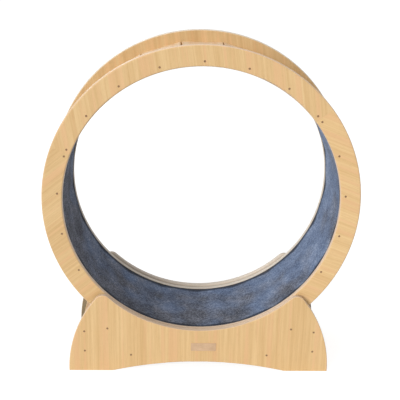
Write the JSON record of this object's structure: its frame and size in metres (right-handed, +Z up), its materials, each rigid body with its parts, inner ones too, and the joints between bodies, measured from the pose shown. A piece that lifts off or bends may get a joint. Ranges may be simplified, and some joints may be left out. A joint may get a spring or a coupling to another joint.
{
  "type": "cat exercise wheel",
  "caption": "Free-standing cat exercise wheel: a carpeted plank track between two plywood rings, turning on flanged rollers in a low two-panel base.",
  "frame": {"origin": "on the floor, midway between the feet, under the wheel's centre", "axes": "+X to the right seen from the nameplate's side, +Y along the wheel's axle to the back, +Z up"},
  "size_m": [1, 0.3655, 1.0809],
  "materials": {
    "ring_plywood": "clear satin lacquer",
    "plank_timber": "planed, clear satin",
    "carpet": "blue-grey loop pile",
    "panel_plywood": "clear satin lacquer",
    "rail_timber": "planed, unfinished",
    "screw_steel": "yellow-brown zinc",
    "plate_metal": "satin anodised, bare",
    "axle_steel": "ground bar",
    "spacer_steel": "bright zinc",
    "bearing_steel": "ground",
    "hub_nylon": "natural nylon",
    "tread_rubber": "matt polyurethane"
  },
  "bodies": {
    "base": {"axle_screws": "screw_steel", "axle_spacers": "spacer_steel", "base_front_panel": "panel_plywood", "base_front_screws": "screw_steel", "base_rear_panel": "panel_plywood", "base_rear_screws": "screw_steel", "left_axle": "axle_steel", "left_axle_tube": "spacer_steel", "left_bearing_inner_rings": "bearing_steel", "left_end_board": "rail_timber", "left_stretcher": "rail_timber", "nameplate": "plate_metal", "right_axle": "axle_steel", "right_axle_tube": "spacer_steel", "right_bearing_inner_rings": "bearing_steel", "right_end_board": "rail_timber", "right_stretcher": "rail_timber"},
    "wheel": {"carpet_runner": "carpet", "front_ring_left_arc": "ring_plywood", "front_ring_right_arc": "ring_plywood", "front_ring_screws": "screw_steel", "front_ring_upper_arc": "ring_plywood", "rear_ring_left_arc": "ring_plywood", "rear_ring_right_arc": "ring_plywood", "rear_ring_screws": "screw_steel", "rear_ring_upper_arc": "ring_plywood", "track_plank_01": "plank_timber", "track_plank_02": "plank_timber", "track_plank_03": "plank_timber", "track_plank_04": "plank_timber", "track_plank_05": "plank_timber", "track_plank_06": "plank_timber", "track_plank_07": "plank_timber", "track_plank_08": "plank_timber", "track_plank_09": "plank_timber", "track_plank_10": "plank_timber", "track_plank_11": "plank_timber", "track_plank_12": "plank_timber", "track_plank_13": "plank_timber", "track_plank_14": "plank_timber", "track_plank_15": "plank_timber", "track_plank_16": "plank_timber", "track_plank_17": "plank_timber", "track_plank_18": "plank_timber", "track_plank_19": "plank_timber", "track_plank_20": "plank_timber", "track_plank_21": "plank_timber"},
    "front_left_roller": {"front_left_roller_hub": "hub_nylon", "front_left_roller_tyre": "tread_rubber", "front_left_bearing_outer_rings": "bearing_steel"},
    "front_right_roller": {"front_right_roller_hub": "hub_nylon", "front_right_roller_tyre": "tread_rubber", "front_right_bearing_outer_rings": "bearing_steel"},
    "rear_left_roller": {"rear_left_roller_hub": "hub_nylon", "rear_left_roller_tyre": "tread_rubber", "rear_left_bearing_outer_rings": "bearing_steel"},
    "rear_right_roller": {"rear_right_roller_hub": "hub_nylon", "rear_right_roller_tyre": "tread_rubber", "rear_right_bearing_outer_rings": "bearing_steel"}
  },
  "joints": [
    {"name": "wheel_spin", "type": "hinge", "parent": "base", "child": "wheel", "pos_m": [0, 0, 0.581], "axis": [0, 1, 0], "continuous": true},
    {"name": "front_left_roller_spin", "type": "hinge", "parent": "base", "child": "front_left_roller", "pos_m": [-0.3014, -0.151, 0.15689], "axis": [0, 1, 0], "continuous": true},
    {"name": "front_right_roller_spin", "type": "hinge", "parent": "base", "child": "front_right_roller", "pos_m": [0.3014, -0.151, 0.15689], "axis": [0, 1, 0], "continuous": true},
    {"name": "rear_left_roller_spin", "type": "hinge", "parent": "base", "child": "rear_left_roller", "pos_m": [-0.3014, 0.151, 0.15689], "axis": [0, 1, 0], "continuous": true},
    {"name": "rear_right_roller_spin", "type": "hinge", "parent": "base", "child": "rear_right_roller", "pos_m": [0.3014, 0.151, 0.15689], "axis": [0, 1, 0], "continuous": true}
  ],
  "couplings": [
    {"joint": "front_left_roller_spin", "follows": "wheel_spin", "ratio": -25},
    {"joint": "front_right_roller_spin", "follows": "wheel_spin", "ratio": -25},
    {"joint": "rear_left_roller_spin", "follows": "wheel_spin", "ratio": -25},
    {"joint": "rear_right_roller_spin", "follows": "wheel_spin", "ratio": -25}
  ]
}
